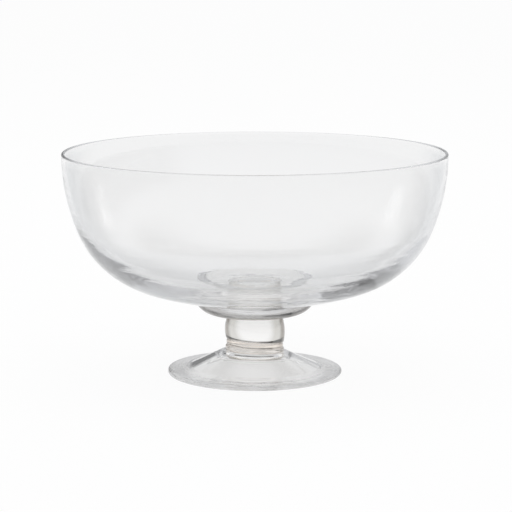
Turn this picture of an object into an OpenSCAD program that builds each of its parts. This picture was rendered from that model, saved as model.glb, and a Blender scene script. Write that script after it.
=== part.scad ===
// Footed trifle bowl in clear hand-worked glass.
//
// Six gathers of glass stand on one axis, butt-joined while hot: foot, lower collar, upper collar,
// knop, pad and bowl. Each gather is its own solid, and each joint is a pair of matching faces.
// Millimetres, +Z up. The origin is the centre of the ring that the foot stands on.

/* [Bowl] */
// Outside diameter of the rim
rim_d = 250; // [230:1:270]
// Height of the bowl, from the middle of its underside to the top of the lip
bowl_h = 100; // [94:1:108]
// Outside radius of the shoulder, where the wall turns into the base
shoulder_r = 65; // [55:1:72]
// Angle through which the wall turns in, from the lip down to the shoulder
wall_turn = 22; // [20:0.5:28]
// Angle through which the shoulder turns, from the wall to the base
shoulder_turn = 50.5; // [47:0.5:52]
// Thickness of the wall at the lip, which is melted round
lip_t = 2.2; // [1.6:0.1:3.5]
// Thickness of the glass in the base
base_t = 5.5; // [4:0.1:7]

/* [Pad] */
// Height of the pad on the axis, from the knop to the underside of the bowl
pad_h = 6; // [4:0.5:9]
// Radius of the flat underside of the pad
pad_flat_r = 27; // [22:0.5:32]
// Radius of the rounded edge that rises from the flat to the bowl
pad_edge_r = 13.1; // [10:0.1:16]

/* [Knop] */
// Height of the knop
knop_h = 18.6; // [16:0.2:22]
// Radius of the knop at its belly
belly_r = 19.7; // [18:0.1:21.5]
// Height of the belly above the foot of the knop
belly_h = 6.8; // [5:0.2:9]
// Radius of the barrel curve, seen from the side
barrel_r = 27; // [24:1:40]
// Radius of the weld that runs out from the top of the knop on to the pad
weld_r = 1.6; // [0.8:0.1:2.4]

/* [Collars] */
// Radius of the upper collar
upper_collar_r = 18.6; // [17.5:0.1:20]
// Height of the upper collar
upper_collar_h = 3.5; // [2.4:0.1:5]
// Radius of the lower collar
lower_collar_r = 19.3; // [18:0.1:20.5]
// Height of the lower collar
lower_collar_h = 3.3; // [2.4:0.1:5]
// Radius on the edges of the collars and on the bottom edge of the knop
collar_round = 1; // [0.4:0.1:1.2]

/* [Foot] */
// Diameter of the foot
foot_d = 114.4; // [105:0.2:125]
// Height of the foot, from the table to the lower collar
foot_h = 14.6; // [13:0.2:17]
// Thickness of the foot at its rim, which is fully rounded
foot_rim_t = 3; // [2:0.1:4]
// Radius at which the cone of the foot runs out into the brim
brim_r = 42.5; // [38:0.5:46]
// Height of the upper face at the run-out
brim_z = 4.7; // [4.2:0.1:5.5]
// Slope of the cone
cone_slope = 25.5; // [24:0.5:30]
// Radius that rounds the top of the cone over to the lower collar
neck_round = 8; // [4:0.5:9]
// Radius of the hollow where the cone meets the brim
brim_round = 12; // [6:1:16]
// Thickness of the cone, between its upper face and the hollow under it
cone_t = 3.2; // [2.4:0.1:4]
// Thickness of the foot on the axis, under the lower collar
crown_t = 3.6; // [3:0.1:6]
// Radius that rounds the top of the hollow
crown_round = 20; // [8:1:24]

/* [Hidden] */
$fn = 128;

clear_glass = [0.93, 0.95, 0.95, 0.45];
warm_glass = [0.93, 0.91, 0.89, 0.5];

// Heights of the joints, from the table up
lower_collar_z = foot_h;
upper_collar_z = lower_collar_z + lower_collar_h;
knop_z = upper_collar_z + upper_collar_h;
pad_z = knop_z + knop_h;
bowl_z = pad_z + pad_h;

// Steps on each arc of an outline
arc_steps = 14;
weld_steps = 6;

// Points on an arc about centre c, from angle a0 to angle a1
function arc(c, r, a0, a1, steps = arc_steps) =
    [for (i = [0:steps]) let (a = a0 + (a1 - a0) * i / steps) c + r * [cos(a), sin(a)]];

// A list without its first point, for arcs that carry on from one another
function rest(list) = [for (i = [1:len(list) - 1]) list[i]];

function reversed(list) = [for (i = [len(list) - 1:-1:0]) list[i]];

// The outside of the bowl is three arcs, each tangent to the next: wall, shoulder and base.
// The wall is upright at the lip, and the base arc is centred on the axis, which fixes
// wall_r and base_r once the rim, the height and the shoulder are given.
rim_r = rim_d / 2;
lip_z = bowl_z + bowl_h - lip_t / 2;
base_turn = wall_turn + shoulder_turn;
shoulder_run = shoulder_r * (cos(wall_turn) - cos(base_turn));
shoulder_drop = shoulder_r * (sin(base_turn) - sin(wall_turn));
base_share = (1 - sin(base_turn)) / cos(base_turn);
wall_r = (lip_z - bowl_z - shoulder_drop - base_share * (rim_r - shoulder_run))
    / (sin(wall_turn) - base_share * (1 - cos(wall_turn)));
base_r = (rim_r - wall_r * (1 - cos(wall_turn)) - shoulder_run) / cos(base_turn);

wall_c = [rim_r - wall_r, lip_z];
shoulder_c = wall_c + (wall_r - shoulder_r) * [cos(wall_turn), -sin(wall_turn)];
base_c = [0, bowl_z + base_r];

// The glass thickens from the lip down to the base as it does in a blown bubble, and is even in the base
function glass_t(turn) = lip_t + (base_t - lip_t) * pow(sin(90 * min(turn / base_turn, 1)), 2);

// One arc of the wall, on its outer face (inset 0) or its inner face (inset 1)
function wall_arc(c, r, turn0, turn1, inset) =
    [for (i = [0:arc_steps]) let (turn = turn0 + (turn1 - turn0) * i / arc_steps)
        c + (r - inset * glass_t(turn)) * [cos(turn), -sin(turn)]];

// A whole face of the bowl, from the lip down to the axis
function bowl_face(inset) = concat(
    wall_arc(wall_c, wall_r, 0, wall_turn, inset),
    rest(wall_arc(shoulder_c, shoulder_r, wall_turn, base_turn, inset)),
    rest(wall_arc(base_c, base_r, base_turn, 90, inset)));

// Bowl: a blown bubble, opened out, with its lip melted to a half-round
module bowl() {
    lip = arc([rim_r - lip_t / 2, lip_z], lip_t / 2, 180, 0);
    color(clear_glass)
        rotate_extrude()
            polygon(concat(bowl_face(0), reversed(bowl_face(1)), rest(lip)));
}

// Everything within the outside of the bowl, up to the lip
module bowl_outline() {
    polygon(concat(bowl_face(0), [[0, lip_z]]));
}

// Pad: a flattened gather whose upper face is cupped to the underside of the bowl
module pad() {
    edge = arc([pad_flat_r, pad_z + pad_edge_r], pad_edge_r, -90, 0);
    color(warm_glass)
        rotate_extrude()
            difference() {
                polygon(concat([[0, pad_z]], edge, [[0, pad_z + pad_edge_r]]));
                bowl_outline();
            }
}

// Knop: a short solid barrel. Its bottom edge is rounded, and its top runs out in a weld.
module knop() {
    barrel_c = [belly_r - barrel_r, knop_z + belly_h];
    weld_turn = asin((knop_h - belly_h - weld_r) / (barrel_r + weld_r));
    weld_c = barrel_c + (barrel_r + weld_r) * [cos(weld_turn), sin(weld_turn)];
    edge_turn = -asin((belly_h - collar_round) / (barrel_r - collar_round));
    edge_c = barrel_c + (barrel_r - collar_round) * [cos(edge_turn), sin(edge_turn)];
    color(warm_glass)
        rotate_extrude()
            polygon(concat(
                [[0, knop_z]],
                arc(edge_c, collar_round, -90, edge_turn, weld_steps),
                rest(arc(barrel_c, barrel_r, edge_turn, weld_turn)),
                rest(arc(weld_c, weld_r, weld_turn + 180, 90, weld_steps)),
                [[0, pad_z]]));
}

// A wafer of glass with rounded edges, standing on height z
module wafer(r, z, h) {
    edge_r = r - collar_round;
    rotate_extrude()
        polygon(concat(
            [[0, z]],
            arc([edge_r, z + collar_round], collar_round, -90, 0, weld_steps),
            arc([edge_r, z + h - collar_round], collar_round, 0, 90, weld_steps),
            [[0, z + h]]));
}

module upper_collar() {
    color(warm_glass) wafer(upper_collar_r, upper_collar_z, upper_collar_h);
}

module lower_collar() {
    color(warm_glass) wafer(lower_collar_r, lower_collar_z, lower_collar_h);
}

// Foot: a spun disc that rises in a cone, over a hollow that follows the cone, standing on a flat ring
module foot() {
    rim_c = [foot_d / 2 - foot_rim_t / 2, foot_rim_t / 2];
    brim_slope = atan((brim_z - foot_rim_t) / (rim_c.x - brim_r));

    // The cone's line meets the top of the foot at this radius
    cone_top_r = brim_r - (foot_h - brim_z) / tan(cone_slope);
    neck_c = [cone_top_r - neck_round * tan(cone_slope / 2), foot_h - neck_round];

    // The hollow between cone and brim touches both lines at the same distance from their corner
    brim_reach = brim_round * tan((cone_slope - brim_slope) / 2);
    brim_c = [brim_r, brim_z] + brim_reach * [cos(brim_slope), -sin(brim_slope)]
        + brim_round * [sin(brim_slope), cos(brim_slope)];

    // The hollow's side runs parallel to the cone, from the table up to its rounded crown
    rest_r = brim_r - cone_t * sin(cone_slope) + (brim_z - cone_t * cos(cone_slope)) / tan(cone_slope);
    crown_z = foot_h - crown_t;
    crown_r = rest_r - crown_z / tan(cone_slope);
    crown_c = [crown_r - crown_round * tan(cone_slope / 2), crown_z - crown_round];

    color(clear_glass)
        rotate_extrude()
            polygon(concat(
                [[0, foot_h]],
                arc(neck_c, neck_round, 90, 90 - cone_slope, weld_steps),
                arc(brim_c, brim_round, 270 - cone_slope, 270 - brim_slope, weld_steps),
                arc(rim_c, foot_rim_t / 2, 90 - brim_slope, -90),
                [[rest_r, 0]],
                arc(crown_c, crown_round, 90 - cone_slope, 90, weld_steps),
                [[0, crown_z]]));
}

bowl();
pad();
knop();
upper_collar();
lower_collar();
foot();
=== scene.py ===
# %% [markdown]
# # A footed trifle bowl in clear glass
# The real bowl is hot-worked: six gathers of glass are shaped one after another and joined on one
# axis while they glow. This lesson builds the same six pieces as turned solids, joins them so that no
# line shows inside the glass, and gives each its own finish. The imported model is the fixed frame: it
# says how big each piece is and where it sits, so nothing here is placed by eye.

# %% Load the frame
from math import acos, asin, atan, atan2, cos, degrees, dist, hypot, pi, radians, sin, tan

import bmesh
import bpy
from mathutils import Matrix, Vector, noise


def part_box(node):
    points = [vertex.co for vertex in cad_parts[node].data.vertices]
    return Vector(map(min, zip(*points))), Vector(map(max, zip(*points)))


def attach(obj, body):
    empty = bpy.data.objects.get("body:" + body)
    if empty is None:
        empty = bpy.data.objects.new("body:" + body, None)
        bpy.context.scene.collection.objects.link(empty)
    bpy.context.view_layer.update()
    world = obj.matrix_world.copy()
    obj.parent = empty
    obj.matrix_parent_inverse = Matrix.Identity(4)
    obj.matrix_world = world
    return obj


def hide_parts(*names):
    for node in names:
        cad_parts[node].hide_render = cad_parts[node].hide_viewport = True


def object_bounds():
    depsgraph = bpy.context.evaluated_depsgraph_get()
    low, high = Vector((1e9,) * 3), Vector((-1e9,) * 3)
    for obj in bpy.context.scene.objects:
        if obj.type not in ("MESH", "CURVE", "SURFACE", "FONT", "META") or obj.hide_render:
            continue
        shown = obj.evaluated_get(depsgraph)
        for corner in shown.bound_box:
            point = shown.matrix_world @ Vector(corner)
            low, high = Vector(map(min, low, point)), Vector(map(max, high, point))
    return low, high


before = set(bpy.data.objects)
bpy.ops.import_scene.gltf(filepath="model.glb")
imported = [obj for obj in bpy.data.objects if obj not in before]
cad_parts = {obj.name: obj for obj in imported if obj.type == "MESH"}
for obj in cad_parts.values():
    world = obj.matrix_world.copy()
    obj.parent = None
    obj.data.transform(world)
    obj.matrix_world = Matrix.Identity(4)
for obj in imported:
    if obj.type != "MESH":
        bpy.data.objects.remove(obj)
cad_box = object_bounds()
MM = 0.001
print("CAD box in mm:", [[round(c / MM, 1) for c in corner] for corner in cad_box])

# %% [markdown]
# ## The camera
# A long lens from a little above the rim, as in the photograph. The focal length was fitted to the
# ellipse of the rim, in pixels of the picture, and a lens in millimetres is that number scaled to the
# width of the sensor. The small shift puts the axis of the bowl where the photograph has it.

# %% Make the camera
PICTURE_PX = 512
FOCAL_PX = 2017.2
AXIS_PX = 254.84
SENSOR_MM = 36
CAMERA_BACK = 1.3
CAMERA_UP = 0.2932
CAMERA_DIP = 9.43

lens = bpy.data.cameras.new("photo_camera")
lens.sensor_width = SENSOR_MM
lens.lens = SENSOR_MM * FOCAL_PX / PICTURE_PX
lens.shift_x = (PICTURE_PX / 2 - AXIS_PX) / PICTURE_PX
camera = bpy.data.objects.new("photo_camera", lens)
camera.location = (0, -CAMERA_BACK, CAMERA_UP)
camera.rotation_euler = (radians(90 - CAMERA_DIP), 0, 0)
scene = bpy.context.scene
scene.collection.objects.link(camera)
scene.camera = camera
scene.view_settings.view_transform = "Standard"
print("lens in mm:", round(lens.lens, 1))

# %% [markdown]
# ## Light paths
# Clear glass needs patience from the renderer. A ray crosses two faces at each wall, and in the
# melted lip and the thick base it is mirrored inside many times before it gets out. A ray that is cut
# off early adds black, so the limits here are far higher than most rays need.

# %% Set how long a ray is followed
GLASS_BOUNCES = 512
JOINTS_CROSSED = 32

scene.cycles.max_bounces = GLASS_BOUNCES
scene.cycles.transmission_bounces = GLASS_BOUNCES
scene.cycles.glossy_bounces = GLASS_BOUNCES
scene.cycles.transparent_max_bounces = JOINTS_CROSSED
print("bounces in glass:", GLASS_BOUNCES)

# %% [markdown]
# ## Helpers for shader nodes
# The room and every finish below are small trees of nodes. These helpers add one node at a time: a
# plain number or colour is set on the socket, and anything else is linked to it. A ramp is a smooth
# step from one end to the other between two limits.

# %% Node helpers
def fill(tree, socket, value):
    if isinstance(value, bpy.types.NodeSocket):
        tree.links.new(value, socket)
    else:
        socket.default_value = value


def add_node(tree, kind, inputs=None, **settings):
    node = tree.nodes.new(kind)
    for name, value in settings.items():
        setattr(node, name, value)
    for key, value in (inputs or {}).items():
        fill(tree, node.inputs[key], value)
    return node


def empty_tree(owner):
    owner.use_nodes = True
    owner.node_tree.nodes.clear()
    return owner.node_tree


def calculate(tree, operation, first, second):
    return add_node(tree, "ShaderNodeMath", {0: first, 1: second}, operation=operation).outputs[0]


def vectors(tree, operation, *inputs):
    node = add_node(tree, "ShaderNodeVectorMath", dict(enumerate(inputs)), operation=operation)
    return node.outputs["Value" if operation in ("DOT_PRODUCT", "LENGTH") else "Vector"]


def ramp(tree, value, limits, ends=(0.0, 1.0)):
    names = ("From Min", "From Max", "To Min", "To Max")
    inputs = {"Value": value, **dict(zip(names, (*limits, *ends)))}
    return add_node(tree, "ShaderNodeMapRange", inputs, interpolation_type="SMOOTHSTEP").outputs[0]


def flattened(tree, way):
    """The level part of a direction or a place."""
    return vectors(tree, "MULTIPLY", way, (1, 1, 0))


def height_of(tree, way):
    return add_node(tree, "ShaderNodeSeparateXYZ", {0: way}).outputs["Z"]


# %% [markdown]
# ## The white floor
# Clear glass has hardly any colour of its own: what we see in it is the room, bent. Most of what the
# bowl shows is the white floor behind it. More light could make plain paint white, but it would fall
# on the glass too. So the floor glows for the camera and for rays that come by the glass, and its
# other share is plain paint that takes the shadow.

# %% The floor's paint
GLOW_TO_EYE = 0.95
GLOW_IN_GLASS = 0.68
FLOOR_PAINT = (0.9, 0.9, 0.9, 1)

paint = bpy.data.materials.new("white_floor")
tree = empty_tree(paint)
seen = add_node(tree, "ShaderNodeLightPath").outputs
by_glass = calculate(tree, "MAXIMUM", seen["Is Glossy Ray"], seen["Is Transmission Ray"])
glow = calculate(tree, "MAXIMUM",
                 calculate(tree, "MULTIPLY", seen["Is Camera Ray"], GLOW_TO_EYE),
                 calculate(tree, "MULTIPLY", by_glass, GLOW_IN_GLASS))
surface = add_node(tree, "ShaderNodeMixShader", {
    0: glow,
    1: add_node(tree, "ShaderNodeBsdfDiffuse", {"Color": FLOOR_PAINT}).outputs[0],
    2: add_node(tree, "ShaderNodeEmission", {"Strength": 1.0}).outputs[0],
})
add_node(tree, "ShaderNodeOutputMaterial", {"Surface": surface.outputs[0]})
print("floor finish:", paint.name)

# %% [markdown]
# The floor itself is one large disc, a hair below the foot so that the two never share a face.

# %% The floor
FLOOR_R = 9.0
FLOOR_SIDES = 96
FLOOR_GAP = 0.05 * MM

bm = bmesh.new()
bmesh.ops.create_circle(bm, cap_ends=True, segments=FLOOR_SIDES, radius=FLOOR_R)
bmesh.ops.translate(bm, verts=bm.verts, vec=(0, 0, -FLOOR_GAP))
mesh = bpy.data.meshes.new("floor")
bm.to_mesh(mesh)
bm.free()
mesh.materials.append(paint)
floor = bpy.data.objects.new("floor", mesh)
scene.collection.objects.link(floor)
print("floor radius in m:", FLOOR_R)

# %% [markdown]
# ## The walls of the room
# The grey bands in the shoulder and the base of the bowl are the walls of the room, squeezed by the
# thick glass. A photographer sets them with a backdrop behind the glass, which keeps the middle
# light, and a black flag beside it, which draws one strong dark edge. Here the walls are a world
# shader: a dim ring round the horizon, to which soft patches add light or take it away. A turn counts
# in degrees from the back to the right, and an edge is where a patch starts and where it is full.

# %% The ring of walls
ROOM_SIDES = 0.22
BACKDROP = {"turn": 1, "edge": (28, 14), "strength": 0.35}
FLAG = {"turn": -16, "edge": (13, 7), "strength": -0.37}
FRONT = {"turn": -145, "edge": (98, 74), "strength": 0.45}


def patch(tree, way, turn, edge, strength):
    """A soft upright patch of wall in the direction turn."""
    facing = (sin(radians(turn)), cos(radians(turn)), 0)
    near = vectors(tree, "DOT_PRODUCT", way, facing)
    return ramp(tree, near, [cos(radians(side)) for side in edge], (0.0, strength))


room = bpy.data.worlds.new("room")
scene.world = room
tree = empty_tree(room)
way = add_node(tree, "ShaderNodeTexCoord").outputs["Generated"]
height = height_of(tree, way)
level_way = vectors(tree, "NORMALIZE", flattened(tree, way))
light = ROOM_SIDES
for wall in (BACKDROP, FLAG, FRONT):
    light = calculate(tree, "ADD", light, patch(tree, level_way, **wall))
print("light on the side walls:", ROOM_SIDES)

# %% [markdown]
# ## The top of the room
# Higher up, the walls are pale. Behind the bowl they end in a dark gap, which the base of the bowl
# mirrors as a soft grey band, and then comes the ceiling. Each layer covers the one below it from one
# height on, where 0 is the horizon and 1 is straight up. To the camera itself the room is plain white.

# %% The upper walls and the ceiling
ROOM_TINT = (0.975, 0.985, 1.01, 1)
UPPER_WALLS = 0.74
WALLS_FROM = (0.25, 0.38)
GAP = 0.0
GAP_FROM = (0.50, 0.72)
GAP_PLACE = {"turn": 1, "edge": (115, 35), "strength": 1.0}
CEILING = 0.75
CEILING_FROM = (0.76, 0.97)
WHITE = (1, 1, 1, 1)


def covered(tree, share, under, over):
    """Under where share is 0, and over where it is 1."""
    rest = calculate(tree, "MULTIPLY", under, calculate(tree, "SUBTRACT", 1.0, share))
    return calculate(tree, "ADD", rest, calculate(tree, "MULTIPLY", over, share))


in_gap = calculate(tree, "MULTIPLY", patch(tree, level_way, **GAP_PLACE), ramp(tree, height, GAP_FROM))
light = covered(tree, ramp(tree, height, WALLS_FROM), light, UPPER_WALLS)
light = covered(tree, in_gap, light, GAP)
light = covered(tree, ramp(tree, height, CEILING_FROM), light, CEILING)
surface = add_node(tree, "ShaderNodeMixShader", {
    0: add_node(tree, "ShaderNodeLightPath").outputs["Is Camera Ray"],
    1: add_node(tree, "ShaderNodeBackground", {"Color": ROOM_TINT, "Strength": light}).outputs[0],
    2: add_node(tree, "ShaderNodeBackground", {"Color": WHITE, "Strength": 1.0}).outputs[0],
})
add_node(tree, "ShaderNodeOutputWorld", {"Surface": surface.outputs[0]})
print("nodes in the room:", len(tree.nodes))

# %% [markdown]
# ## The soft box
# A large panel above lights the floor and gives the bowl its faint soft shadow. Glass would show it as
# a hard bright square, so the panel is hidden from rays that the glass mirrors or lets through.

# %% The soft box
BOX_SIDE = 2.0
BOX_UP = 1.8
BOX_BACK = 0.35
BOX_POWER = 17

panel = bpy.data.lights.new("soft_box", "AREA")
panel.size = BOX_SIDE
panel.energy = BOX_POWER
lamp = bpy.data.objects.new("soft_box", panel)
lamp.location = (0, BOX_BACK, BOX_UP)
lamp.visible_camera = False
lamp.visible_glossy = False
lamp.visible_transmission = False
scene.collection.objects.link(lamp)
print("soft box side in m:", BOX_SIDE)

# %% [markdown]
# ## Two strip lights
# The tall soft highlights on the wall are the wall's mirror image of something bright at each side.
# A strip lamp with a grid hangs over the floor on the left and on the right and shines straight
# down, so that it lights a long narrow patch there and not the bowl, and the wall mirrors the patch.

# %% The strip lights
STRIP_W = 0.05
STRIP_UP = 0.3
STRIP_GRID = 16
STRIP_POWER = 0.17
STRIPS = {
    "left_strip": ((-0.29, -0.015), (-0.62, 0.063)),
    "right_strip": ((0.29, -0.069), (0.63, -0.032)),
}

for name, (near, far) in STRIPS.items():
    run = Vector(far) - Vector(near)
    strip = bpy.data.lights.new(name, "AREA")
    strip.shape = "RECTANGLE"
    strip.size = run.length
    strip.size_y = STRIP_W
    strip.spread = radians(STRIP_GRID)
    strip.energy = STRIP_POWER
    lamp = bpy.data.objects.new(name, strip)
    lamp.location = (*((Vector(near) + Vector(far)) / 2), STRIP_UP)
    lamp.rotation_euler = (0, 0, atan2(run.y, run.x))
    lamp.visible_camera = False
    scene.collection.objects.link(lamp)
print("strip lights:", list(STRIPS))

# %% [markdown]
# ## Tool rings
# A piece that turns on the iron while a tool rests on it gets fine rings round its axis. They could be
# modelled, but they are a few hundredths of a millimetre deep, so they are bump: a noise that runs
# slowly round the axis and quickly across it. Place is turned into a point on a circle for the way
# round, and radius and height together give the way across.

# %% Rings round the axis
NOISE_DETAIL = 2.0
RING_AROUND = 2.5


def ring_noise(tree, place, around, fine):
    level = flattened(tree, place)
    along = vectors(tree, "MULTIPLY", vectors(tree, "NORMALIZE", level), (around, around, 0))
    reach = calculate(tree, "ADD", vectors(tree, "LENGTH", level), height_of(tree, place))
    across = add_node(tree, "ShaderNodeCombineXYZ", {"Z": calculate(tree, "MULTIPLY", reach, fine)})
    spot = vectors(tree, "ADD", along, across.outputs[0])
    inputs = {"Vector": spot, "Scale": 1.0, "Detail": NOISE_DETAIL}
    return add_node(tree, "ShaderNodeTexNoise", inputs).outputs["Fac"]


def tool_rings(tree, place, fine, depth):
    rings = ring_noise(tree, place, RING_AROUND, fine)
    inputs = {"Height": rings, "Strength": 1.0, "Distance": depth}
    return add_node(tree, "ShaderNodeBump", inputs).outputs[0]


# %% [markdown]
# ## The tint of the glass, and painted shade at its edges
# A faint tint takes off the light that a real wall takes off. Towards the edge of a piece, where we
# look along the glass and not through it, the base colour gets darker: this is painted shade. It
# stands in for the dark parts of the room that real edges mirror and bend, and in part for the
# longer path through the glass there. Absorption in the volume could give that part, but here it all
# follows Facing, which is quick and can be set for each piece. Each row of edges says where the
# painted shade deepens, from 0 face-on to 1 edge-on, and to what colour. A slow cloud makes it
# uneven, and only the face by which a ray enters counts. Above a given height near the lip the
# painted shade has faded out. The Mix node keeps its colours in sockets that share their names with
# others, so they are called by number.

# %% Tint and painted shade towards the edge
CLOUD_SCALE = 18.0
CLOUD_LIMITS = (0.3, 0.7)
CLOUD_SHARES = (0.8, 1.0)
EVEN_BLEND = 0.5
UNSHADE_RUN = 4 * MM
MIX_SHARE, MIX_FIRST, MIX_SECOND, MIXED = 0, 6, 7, 2


def tint_with_edge_shade(tree, place, clear, edges, melted):
    inputs = {"Vector": place, "Scale": CLOUD_SCALE, "Detail": NOISE_DETAIL}
    cloud = add_node(tree, "ShaderNodeTexNoise", inputs).outputs["Fac"]
    facing = add_node(tree, "ShaderNodeLayerWeight", {"Blend": EVEN_BLEND}).outputs["Facing"]
    leaving = add_node(tree, "ShaderNodeNewGeometry").outputs["Backfacing"]
    entering = calculate(tree, "SUBTRACT", 1.0, leaving)
    reach = calculate(tree, "MULTIPLY", entering, ramp(tree, cloud, CLOUD_LIMITS, CLOUD_SHARES))
    # Near the lip the painted edge shade fades out, so the lip stays clear.
    if melted:
        below = ramp(tree, height_of(tree, place), (melted - UNSHADE_RUN, melted), (1.0, 0.0))
        reach = calculate(tree, "MULTIPLY", reach, below)
    # Each row mixes the colour towards a darker edge colour: painted shade that follows Facing.
    colour = (*clear, 1)
    for low, high, edge in edges:
        share = calculate(tree, "MULTIPLY", ramp(tree, facing, (low, high)), reach)
        inputs = {MIX_SHARE: share, MIX_FIRST: colour, MIX_SECOND: (*edge, 1)}
        colour = add_node(tree, "ShaderNodeMix", inputs, data_type="RGBA").outputs[MIXED]
    return colour


# %% [markdown]
# ## Wear under the foot
# The ring that a glass stands on is scuffed by every table that it has stood on. It is the same glass,
# only rougher, so the wear is a roughness in rings that is there just above the table and nowhere else.

# %% Wear
SCUFF_AROUND = 7.0
SCUFF_FINE = 700.0
SCUFF_LIMITS = (0.35, 0.65)
SCUFF_LEAST = 0.3
SCUFF_HEIGHT = (0.05 * MM, 0.4 * MM)


def worn(tree, place, scuff):
    rings = ring_noise(tree, place, SCUFF_AROUND, SCUFF_FINE)
    rough = ramp(tree, rings, SCUFF_LIMITS, (SCUFF_LEAST * scuff, scuff))
    near_table = ramp(tree, height_of(tree, place), SCUFF_HEIGHT, (1.0, 0.0))
    return calculate(tree, "MULTIPLY", rough, near_table)


# %% [markdown]
# ## Five finishes of one glass
# All the pieces are clear glass that bends light by the same amount. The rows of edges are painted
# shade towards the edges of each piece. The bowl is thin and gets a little cool painted shade at its
# edges. Its lip was melted last, and the painted shade is left off it, so it is the clearest part. The
# pad and the knop are thick, deep painted shade darkens their edges, and the wafers have a warm
# cast. The foot is nearly colourless and its painted edge shade is faint. Rings says how many there
# are to a metre, roughly, and how deep they are.

# %% The glass finishes
GLASS_IOR = 1.5
UNSHADED_LIP = 2 * MM
# The edges rows below are painted shade: a darker colour towards the edge of each piece.
FINISHES = {
    "bowl_glass": {
        "clear": (0.970, 0.970, 0.968),
        "edges": [(0.45, 0.80, (0.76, 0.775, 0.79))],
        "rings": (220, 0.03 * MM),
        "melted": cad_box[1][2] - UNSHADED_LIP,
    },
    "pad_glass": {
        "clear": (0.99, 0.982, 0.966),
        "edges": [(0.24, 0.40, (0.48, 0.455, 0.42)), (0.50, 0.75, (0.14, 0.12, 0.10))],
        "rings": (400, 0.05 * MM),
    },
    "knop_glass": {
        "clear": (0.99, 0.985, 0.972),
        "edges": [(0.10, 0.30, (0.50, 0.485, 0.44)), (0.40, 0.60, (0.12, 0.10, 0.08))],
        "rings": (500, 0.02 * MM),
    },
    "wafer_glass": {
        "clear": (0.985, 0.91, 0.83),
        "edges": [(0.3, 0.6, (0.42, 0.36, 0.30))],
        "rings": (500, 0.02 * MM),
    },
    "foot_glass": {
        "clear": (1.0, 0.997, 0.988),
        "edges": [(0.6, 0.9, (0.9, 0.9, 0.9))],
        "rings": (300, 0.02 * MM),
        "scuff": 0.25,
    },
}


def clear_glass(name, clear, edges, rings, melted=None, scuff=None):
    finish = bpy.data.materials.new(name)
    tree = empty_tree(finish)
    place = add_node(tree, "ShaderNodeTexCoord").outputs["Object"]
    shader = add_node(tree, "ShaderNodeBsdfPrincipled", {
        # The base colour carries the tint and the painted shade at the edges.
        "Base Color": tint_with_edge_shade(tree, place, clear, edges, melted),
        "Roughness": worn(tree, place, scuff) if scuff else 0.0,
        "IOR": GLASS_IOR,
        "Transmission Weight": 1.0,
        "Normal": tool_rings(tree, place, *rings),
    })
    add_node(tree, "ShaderNodeOutputMaterial", {"Surface": shader.outputs[0]})
    return finish


glass = {name: clear_glass(name, **look) for name, look in FINISHES.items()}
print("finishes:", list(glass))

# %% [markdown]
# ## Fused joints
# Where two gathers were joined hot, the glass is one: there is no face to see. Each piece here is
# still a closed solid, so the two faces of a joint get a shader that lets light straight through.

# %% The fused joint
fused = bpy.data.materials.new("fused_joint")
tree = empty_tree(fused)
through = add_node(tree, "ShaderNodeBsdfTransparent")
add_node(tree, "ShaderNodeOutputMaterial", {"Surface": through.outputs[0]})
print("joint finish:", fused.name)

# %% [markdown]
# ## Turning a piece
# Glass on the iron is turned all the time, so each piece is an outline spun about the axis. The
# outline is a chain of arcs and straight runs from axis to axis, drawn as points of radius and height.
# The spin closes on itself, the points on the axis are merged into one pole, and the faces are turned
# outwards.

# %% Outline and spin
AROUND = 256
MERGE = 0.001 * MM


def on_circle(centre, radius, turn):
    return (centre[0] + radius * cos(radians(turn)), centre[1] + radius * sin(radians(turn)))


def arc(centre, radius, start, end, steps):
    return [on_circle(centre, radius, start + (end - start) * i / steps) for i in range(steps + 1)]


def straight(start, end, steps):
    shares = [i / steps for i in range(steps + 1)]
    return [tuple(a + (b - a) * t for a, b in zip(start, end)) for t in shares]


def chain(*runs):
    points = []
    for run in runs:
        points += [p for p in run if not points or dist(p, points[-1]) > MERGE]
    return points


def turned(outline):
    bm = bmesh.new()
    verts = [bm.verts.new((r, 0, z)) for r, z in outline]
    edges = [bm.edges.new(pair) for pair in zip(verts, verts[1:])]
    bmesh.ops.spin(bm, geom=verts + edges, axis=(0, 0, 1), angle=2 * pi, steps=AROUND, use_merge=True)
    bmesh.ops.remove_doubles(bm, verts=bm.verts, dist=MERGE)
    bmesh.ops.recalc_face_normals(bm, faces=bm.faces)
    return bm


# %% [markdown]
# ## Waves of the hand
# No hand-worked skin is quite true: it has slow waves that run round the piece, and they make the
# edges of the grey bands ragged. A Displace modifier could make them. Moving each vertex along its
# normal, by less than a tenth of a millimetre, lets share fade the waves out towards a joint, the lip
# and the ring that stands on the table. The upper and the lower skin get waves of their own.

# %% Waves in a skin
UPPER_SKIN_SHIFT = 7.3


def fade(value, low, high):
    t = min(max((value - low) / (high - low), 0), 1)
    return t * t * (3 - 2 * t)


def hand_waves(bm, depth, wave, around, share):
    bm.normal_update()
    moves = {}
    for vert in bm.verts:
        r = hypot(vert.co.x, vert.co.y)
        shift = UPPER_SKIN_SHIFT if vert.normal.z > 0 else 0
        turn = atan2(vert.co.y, vert.co.x)
        place = Vector((around * cos(turn), around * sin(turn), (r + vert.co.z) / wave + shift))
        moves[vert] = vert.normal * (depth * share(r, vert.co.z) * noise.noise(place))
    for vert, move in moves.items():
        vert.co += move


# %% [markdown]
# ## The slant of the stem
# The hot stem also sagged a little before it set, so its wafers slant to the right and to the back.
# They could be turned as whole pieces, but then their joints would open. Instead one shared field
# lowers one side and lifts the other, most at the foot of the knop and not at all at the table or the
# pad. Every piece goes through the same field, so the faces of a joint still meet.

# %% Slant
SLANT_RIGHT = 4.5
SLANT_BACK = 6.5
SLANT_SHARES = {"foot": 0.0, "lower_collar": 0.4, "upper_collar": 0.7, "knop": 1.0, "pad": 0.0}

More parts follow.
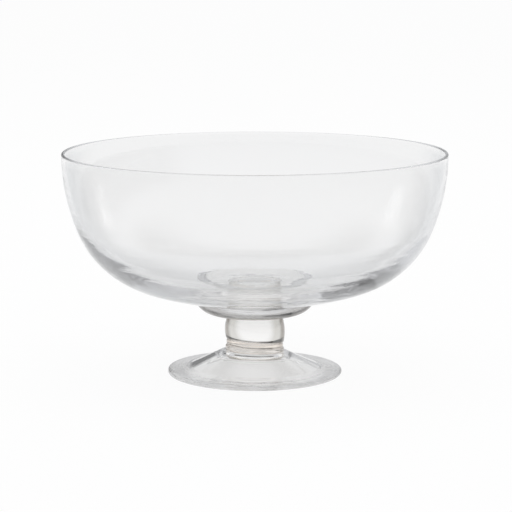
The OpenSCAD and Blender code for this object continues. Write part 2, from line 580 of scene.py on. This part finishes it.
slant = Vector((tan(radians(SLANT_RIGHT)), tan(radians(SLANT_BACK)), 0))
slant_at = [(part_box(node)[0].z, share) for node, share in SLANT_SHARES.items()]


def slanted(bm):
    for vert in bm.verts:
        for (low, at_low), (high, at_high) in zip(slant_at, slant_at[1:]):
            if low <= vert.co.z <= high:
                share = at_low + (at_high - at_low) * (vert.co.z - low) / (high - low)
                vert.co.z -= vert.co.dot(slant) * share
                break


print("slant by height in mm:", [(round(z / MM, 1), share) for z, share in slant_at])

# %% [markdown]
# ## Finishing a piece
# A finished piece rides on the part's one body and stands for its CAD node. The faces for which
# on_joint is true get the fused finish, and edges sharper than a crease stay sharp.

# %% Finish a piece
CREASE = 32


def finish_piece(bm, name, node, finish, on_joint):
    mesh = bpy.data.meshes.new(name)
    mesh.materials.append(finish)
    mesh.materials.append(fused)
    joint = {vert for vert in bm.verts if on_joint(vert.co)}
    joint_faces = [face for face in bm.faces if joint.issuperset(face.verts)]
    for face in joint_faces:
        face.material_index = 1
    joints = len(joint_faces)
    slanted(bm)
    bm.to_mesh(mesh)
    bm.free()
    mesh.shade_smooth()
    mesh.set_sharp_from_angle(angle=radians(CREASE))
    piece = bpy.data.objects.new(name, mesh)
    scene.collection.objects.link(piece)
    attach(piece, "root")
    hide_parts(node)
    size = [round(c / MM, 1) for c in piece.dimensions]
    print(name, "mm:", size, "faces:", len(mesh.polygons), "in joints:", joints)


def on_disc(z, r):
    return lambda co: abs(co.z - z) < MERGE and hypot(co.x, co.y) < r + MERGE


def either(first, second):
    return lambda co: first(co) or second(co)


# %% [markdown]
# ## The bowl
# The blown bubble. Its outside is three arcs, each tangent to the next: the wall, the shoulder and
# the base. The wall is upright at the lip and the base arc is centred on the axis, so two of the
# radii follow from the rim and the height.

# %% The bowl's arcs
SHOULDER_R = 65 * MM
WALL_TURN = 22
BASE_TURN = 72.5
LIP_T = 2.2 * MM

bowl_low, bowl_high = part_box("bowl")
rim_r = bowl_high.x
bowl_z = bowl_low.z
lip_z = bowl_high.z - LIP_T / 2
wall_cos, wall_sin = cos(radians(WALL_TURN)), sin(radians(WALL_TURN))
base_cos, base_sin = cos(radians(BASE_TURN)), sin(radians(BASE_TURN))
shoulder_run = SHOULDER_R * (wall_cos - base_cos)
shoulder_drop = SHOULDER_R * (base_sin - wall_sin)
base_share = (1 - base_sin) / base_cos
wall_drop = lip_z - bowl_z - shoulder_drop - base_share * (rim_r - shoulder_run)
wall_r = wall_drop / (wall_sin - base_share * (1 - wall_cos))
base_r = (rim_r - wall_r * (1 - wall_cos) - shoulder_run) / base_cos
wall_c = (rim_r - wall_r, lip_z)
shoulder_c = on_circle(wall_c, wall_r - SHOULDER_R, -WALL_TURN)
base_c = (0, bowl_z + base_r)
print("radii in mm: wall", round(wall_r / MM, 1), "base", round(base_r / MM, 1))

# %% [markdown]
# ## The seam of bowl and pad
# The pad below is cupped to the bowl, so the bowl's outline needs a point just where the two skins
# part. That point is where the pad's rounded edge crosses the base arc.

# %% Where the pad meets the bowl
PAD_FLAT_R = 27 * MM
PAD_EDGE_R = 13.1 * MM

pad_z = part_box("pad")[0].z
pad_edge_c = (PAD_FLAT_R, pad_z + PAD_EDGE_R)


def crossing(c1, r1, c2, r2):
    """The turn about c1 at which two circles cross, on the side of +r and low z."""
    apart = dist(c1, c2)
    towards = atan2(c2[1] - c1[1], c2[0] - c1[0])
    return degrees(towards - acos((r1 * r1 + apart * apart - r2 * r2) / (2 * r1 * apart)))


seam_turn = crossing(pad_edge_c, PAD_EDGE_R, base_c, base_r)
seam = on_circle(pad_edge_c, PAD_EDGE_R, seam_turn)
seam_base_turn = degrees(atan2(base_c[1] - seam[1], seam[0]))
print("pad seam in mm:", [round(c / MM, 2) for c in seam])

# %% [markdown]
# ## The bowl's two skins
# A Solidify modifier would give the bowl one thickness, but blown glass thickens from the lip down to
# the base. So both skins come from one function, which at a turn of 0 is at the lip and at 90 on the
# axis, and inset moves it in by the thickness of the glass there. A half-round lip joins the two.

# %% The bowl's outline
BASE_T = 5.5 * MM
LIP_STEPS = 32
WALL_STEPS = 40
SHOULDER_STEPS = 36
BASE_STEPS = 32
CUP_STEPS = 24


def glass_t(turn):
    return LIP_T + (BASE_T - LIP_T) * sin(pi / 2 * min(turn / BASE_TURN, 1)) ** 2


def skin(centre, radius, start, end, steps, inset):
    turns = [start + (end - start) * i / steps for i in range(steps + 1)]
    return [on_circle(centre, radius - inset * glass_t(turn), -turn) for turn in turns]


def bowl_skin(inset):
    return chain(
        skin(wall_c, wall_r, 0, WALL_TURN, WALL_STEPS, inset),
        skin(shoulder_c, SHOULDER_R, WALL_TURN, BASE_TURN, SHOULDER_STEPS, inset),
        skin(base_c, base_r, BASE_TURN, seam_base_turn, BASE_STEPS, inset),
        skin(base_c, base_r, seam_base_turn, 90, CUP_STEPS, inset))


lip = arc((rim_r - LIP_T / 2, lip_z), LIP_T / 2, 180, 0, LIP_STEPS)
bowl_outline = chain(bowl_skin(1)[::-1], lip, bowl_skin(0))
print("points in the bowl's outline:", len(bowl_outline))

# %% [markdown]
# ## Spinning the bowl
# The outline is spun and gets the waves of the hand, strongest in the shoulder. They start well below
# the lip, which the fire has drawn true, and end where the cup of the pad begins.

# %% Spin the bowl
BOWL_WAVE = 8 * MM
BOWL_WAVE_DEPTH = 0.06 * MM
BOWL_AROUND = 1.4
BELOW_LIP = (20 * MM, 60 * MM)
BESIDE_SEAM = 25 * MM


def on_cup(co):
    r = hypot(co.x, co.y)
    return r < seam[0] + MERGE and abs(hypot(r, co.z - base_c[1]) - base_r) < MERGE


def bowl_share(r, z):
    return fade(lip_z - z, *BELOW_LIP) * fade(r, seam[0], seam[0] + BESIDE_SEAM)


bm = turned(bowl_outline)
hand_waves(bm, BOWL_WAVE_DEPTH, BOWL_WAVE, BOWL_AROUND, bowl_share)
finish_piece(bm, "blown_bowl", "bowl", glass["bowl_glass"], on_cup)

# %% [markdown]
# ## The knop
# The short barrel of the stem. Its side is one large arc, its bottom edge is rounded, and its top
# runs out in a small weld on to the pad. The pad needs to know how wide that weld is, so the knop is
# made first. Its centres follow from the arcs that touch. Where it meets the collar below, the joint is
# as wide as the smaller of the two flats, so that the faces match.

# %% The knop's arcs
BELLY_R = 19.7 * MM
BELLY_H = 6.8 * MM
BARREL_R = 27 * MM
WELD_R = 1.6 * MM
EDGE_R = 1.0 * MM

knop_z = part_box("knop")[0].z
upper_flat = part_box("upper_collar")[1].x - EDGE_R
barrel_c = (BELLY_R - BARREL_R, knop_z + BELLY_H)
weld_turn = degrees(asin((pad_z - knop_z - BELLY_H - WELD_R) / (BARREL_R + WELD_R)))
weld_c = on_circle(barrel_c, BARREL_R + WELD_R, weld_turn)
edge_turn = -degrees(asin((BELLY_H - EDGE_R) / (BARREL_R - EDGE_R)))
edge_c = on_circle(barrel_c, BARREL_R - EDGE_R, edge_turn)
knop_joint = min(edge_c[0], upper_flat)
print("joints of the knop in mm:", round(knop_joint / MM, 2), round(weld_c[0] / MM, 2))

# %% [markdown]
# The outline runs out along the lower flat, round the edge, up the barrel and the weld, and back in
# along the pad. It starts and ends on the axis, so the spin gives a closed solid.

# %% Spin the knop
FLAT_STEPS = 10
EDGE_STEPS = 8
BARREL_STEPS = 36
WELD_STEPS = 10

bm = turned(chain(
    straight((0, knop_z), (knop_joint, knop_z), FLAT_STEPS),
    arc(edge_c, EDGE_R, -90, edge_turn, EDGE_STEPS),
    arc(barrel_c, BARREL_R, edge_turn, weld_turn, BARREL_STEPS),
    arc(weld_c, WELD_R, weld_turn + 180, 90, WELD_STEPS),
    straight((weld_c[0], pad_z), (0, pad_z), FLAT_STEPS)))
on_weld = on_disc(pad_z, weld_c[0])
on_knop_flat = on_disc(knop_z, knop_joint)
finish_piece(bm, "stem_knop", "knop", glass["knop_glass"], either(on_weld, on_knop_flat))

# %% [markdown]
# ## The pad
# A gather pressed flat under the bowl. Its top is the bowl's own base arc, so the two seat all over,
# its edge is a round, and its flat underside carries the knop.

# %% Spin the pad
PAD_EDGE_STEPS = 24
PAD_FLAT_STEPS = 4

bm = turned(chain(
    skin(base_c, base_r, 90, seam_base_turn, CUP_STEPS, 0),
    arc(pad_edge_c, PAD_EDGE_R, seam_turn, -90, PAD_EDGE_STEPS),
    straight((PAD_FLAT_R, pad_z), (weld_c[0], pad_z), PAD_FLAT_STEPS),
    straight((weld_c[0], pad_z), (0, pad_z), FLAT_STEPS)))
finish_piece(bm, "base_pad", "pad", glass["pad_glass"], either(on_cup, on_weld))

# %% [markdown]
# ## The collars
# Two thin wafers of glass. Both are the same shape, so one function makes them: flat above and
# below, with rounded edges that leave a groove at each joint.

# %% Spin the two collars
WAFER_EDGE_STEPS = 10

upper_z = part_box("upper_collar")[0].z
lower_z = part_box("lower_collar")[0].z
lower_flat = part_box("lower_collar")[1].x - EDGE_R
collar_joint = min(upper_flat, lower_flat)


def make_wafer(name, node, flat, low, high, joint_low, joint_high):
    bm = turned(chain(
        straight((0, low), (joint_low, low), FLAT_STEPS),
        arc((flat, low + EDGE_R), EDGE_R, -90, 0, WAFER_EDGE_STEPS),
        arc((flat, high - EDGE_R), EDGE_R, 0, 90, WAFER_EDGE_STEPS),
        straight((joint_high, high), (0, high), FLAT_STEPS)))
    on_joints = either(on_disc(low, joint_low), on_disc(high, joint_high))
    finish_piece(bm, name, node, glass["wafer_glass"], on_joints)


make_wafer("collar_upper", "upper_collar", upper_flat, upper_z, knop_z, collar_joint, knop_joint)
make_wafer("collar_lower", "lower_collar", lower_flat, lower_z, upper_z, lower_flat, collar_joint)

# %% [markdown]
# ## The top of the foot
# A disc spun out from the stem. From the lower collar it falls in a cone, meets the flat brim in a
# crisp crease, and ends in a half-round rim. The bends are arcs tangent to the runs on both sides, so
# their centres follow from the slopes.

# %% The foot's upper outline
FOOT_RIM_T = 3 * MM
BRIM_R = 42.5 * MM
BRIM_Z = 4.7 * MM
CONE_SLOPE = 25.5
NECK_ROUND = 8 * MM
BRIM_ROUND = 3 * MM
CONE_STEPS = 12
BEND_STEPS = 10
FOOT_RIM_STEPS = 16

foot_low, foot_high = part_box("foot")
foot_z = foot_low.z
foot_r = foot_high.x
cone_cos, cone_sin = cos(radians(CONE_SLOPE)), sin(radians(CONE_SLOPE))
cone_tan = tan(radians(CONE_SLOPE))
half_tan = tan(radians(CONE_SLOPE / 2))
neck_c = (BRIM_R - (lower_z - BRIM_Z) / cone_tan - NECK_ROUND * half_tan, lower_z - NECK_ROUND)
foot_rim_c = (foot_r - FOOT_RIM_T / 2, foot_z + FOOT_RIM_T / 2)
brim_slope = degrees(atan((BRIM_Z - FOOT_RIM_T) / (foot_rim_c[0] - BRIM_R)))
slope_cos, slope_sin = cos(radians(brim_slope)), sin(radians(brim_slope))
brim_reach = BRIM_ROUND * tan(radians((CONE_SLOPE - brim_slope) / 2))
brim_c = (BRIM_R + brim_reach * slope_cos + BRIM_ROUND * slope_sin,
          BRIM_Z - brim_reach * slope_sin + BRIM_ROUND * slope_cos)
neck = arc(neck_c, NECK_ROUND, 90, 90 - CONE_SLOPE, CONE_STEPS)
brim_bend = arc(brim_c, BRIM_ROUND, 270 - CONE_SLOPE, 270 - brim_slope, BEND_STEPS)
foot_rim = arc(foot_rim_c, FOOT_RIM_T / 2, 90 - brim_slope, -90, FOOT_RIM_STEPS)
print("slope of the brim in degrees:", round(brim_slope, 1))

# %% [markdown]
# ## The hollow of the foot
# Underneath, a hollow follows the slope of the cone, rounds off into a crown, and leaves a flat ring
# to stand on. The waves of the hand are kept off the joint, the rim and that ring.

# %% Spin the foot
CONE_T = 3.2 * MM
CROWN_T = 3.6 * MM
CROWN_ROUND = 20 * MM
BRIM_STEPS = 8
REST_STEPS = 6
FOOT_WAVE = 18 * MM
FOOT_WAVE_DEPTH = 0.05 * MM
FOOT_AROUND = 7.0
BESIDE_JOINT = (22 * MM, 30 * MM)
BESIDE_RIM = (2 * MM, 8 * MM)
ABOVE_TABLE = (0, 1 * MM)

rest_r = BRIM_R - CONE_T * cone_sin + (BRIM_Z - CONE_T * cone_cos) / cone_tan
crown_z = lower_z - CROWN_T
crown_c = (rest_r - crown_z / cone_tan - CROWN_ROUND * half_tan, crown_z - CROWN_ROUND)
crown_bend = arc(crown_c, CROWN_ROUND, 90 - CONE_SLOPE, 90, BEND_STEPS)


def foot_share(r, z):
    return fade(r, *BESIDE_JOINT) * fade(foot_r - r, *BESIDE_RIM) * fade(z, *ABOVE_TABLE)


bm = turned(chain(
    straight((0, lower_z), (lower_flat, lower_z), BRIM_STEPS),
    neck,
    straight(neck[-1], brim_bend[0], CONE_STEPS),
    brim_bend,
    straight(brim_bend[-1], foot_rim[0], BRIM_STEPS),
    foot_rim,
    straight(foot_rim[-1], (rest_r, foot_z), REST_STEPS),
    straight((rest_r, foot_z), crown_bend[0], CONE_STEPS),
    crown_bend,
    straight(crown_bend[-1], (0, crown_z), BRIM_STEPS)))
hand_waves(bm, FOOT_WAVE_DEPTH, FOOT_WAVE, FOOT_AROUND, foot_share)
finish_piece(bm, "spun_foot", "foot", glass["foot_glass"], on_disc(lower_z, lower_flat))
